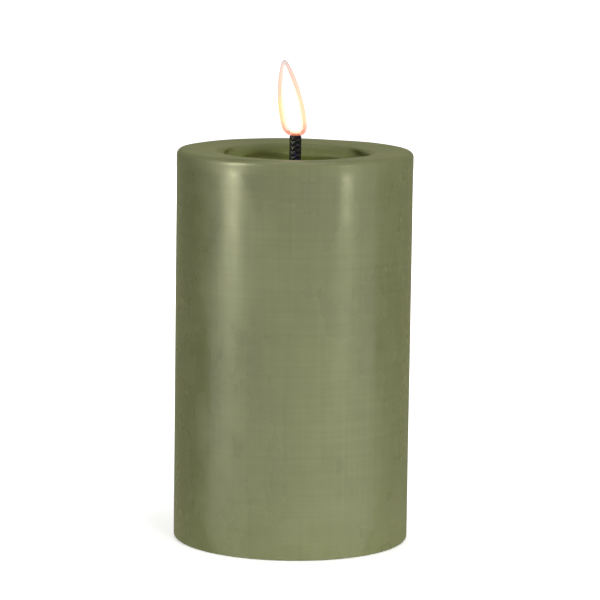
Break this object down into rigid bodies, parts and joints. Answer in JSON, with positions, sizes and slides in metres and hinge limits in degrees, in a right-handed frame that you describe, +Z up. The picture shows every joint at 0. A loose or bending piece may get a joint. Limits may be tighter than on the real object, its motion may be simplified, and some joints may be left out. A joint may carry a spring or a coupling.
{
  "type": "flameless led candle",
  "caption": "Battery pillar candle: a hollow wax body with a dished top, a leaning flame-shaped lamp on a black wick, and a base module with a slide switch and a hinged battery door.",
  "frame": {"origin": "centre of the wax foot ring, on the surface that the candle stands on", "axes": "+Z up along the candle's axis; the flame leans towards -X; the candle is seen from -Y; the battery door is hinged at -X and the switch is at +Y on the underside"},
  "size_m": [0.075, 0.075, 0.1533],
  "materials": {
    "sage_wax": "satin",
    "hot_glue": "satin",
    "flame_shell_plastic": "satin",
    "flame_core_plastic": "satin",
    "lamp_epoxy": "gloss",
    "wick_braid": "matte",
    "wick_collar_plastic": "satin",
    "infrared_window": "gloss",
    "steel": "satin",
    "spring_steel": "satin",
    "nickel_strip": "satin",
    "tinned_copper": "satin",
    "solder": "satin",
    "board_green": "satin",
    "chip_black": "matte",
    "base_ivory": "satin",
    "door_ivory": "satin",
    "switch_black": "satin",
    "cell_wrap": "gloss",
    "capacitor_sleeve": "gloss",
    "wire_red": "satin",
    "wire_black": "satin",
    "wire_yellow": "satin",
    "wire_white": "satin",
    "wire_blue": "satin",
    "tie_nylon": "satin"
  },
  "bodies": {
    "candle": {"wax_shell": "sage_wax", "glue_beads": "hot_glue", "flame_shell": "flame_shell_plastic", "flame_core": "flame_core_plastic", "flame_led": "lamp_epoxy", "led_leads": "tinned_copper", "wick_stem": "steel", "wick_sleeve": "wick_braid", "wick_collar": "wick_collar_plastic", "ir_window": "infrared_window", "sensor_board": "board_green", "sensor_screws": "steel", "ir_receiver": "chip_black", "lower_housing": "base_ivory", "upper_housing": "base_ivory", "housing_screws": "steel", "spring_1": "spring_steel", "spring_2": "spring_steel", "contact_bridge": "nickel_strip", "contact_positive": "nickel_strip", "contact_negative": "nickel_strip", "circuit_board": "board_green", "board_screws": "steel", "controller_chip": "chip_black", "timer_crystal": "tinned_copper", "capacitor": "capacitor_sleeve", "chip_resistors": "chip_black", "solder_joints": "solder", "switch_body": "steel", "switch_pins": "tinned_copper", "wire_red": "wire_red", "wire_black": "wire_black", "wire_yellow": "wire_yellow", "wire_white": "wire_white", "wire_blue": "wire_blue", "wire_tie": "tie_nylon", "wire_battery_red": "wire_red", "wire_battery_black": "wire_black"},
    "door": {"battery_door": "door_ivory"},
    "knob": {"switch_knob": "switch_black"},
    "cell_1": {"battery_1": "cell_wrap"},
    "cell_2": {"battery_2": "cell_wrap"}
  },
  "joints": [
    {"name": "battery_door_hinge", "type": "hinge", "parent": "candle", "child": "door", "pos_m": [-0.0304, 0, 0.002], "axis": [0, 1, 0], "range_deg": [0, 95]},
    {"name": "power_switch_slide", "type": "slide", "parent": "candle", "child": "knob", "axis": [1, 0, 0], "range_m": [0, 0.004]},
    {"name": "battery_1_press", "type": "slide", "parent": "candle", "child": "cell_1", "axis": [-1, 0, 0], "range_m": [0, 0.0018], "stiffness_N_per_m": 600, "springref_m": -0.002, "deforming": ["spring_1"]},
    {"name": "battery_2_press", "type": "slide", "parent": "candle", "child": "cell_2", "axis": [1, 0, 0], "range_m": [0, 0.0018], "stiffness_N_per_m": 600, "springref_m": -0.002, "deforming": ["spring_2"]}
  ]
}
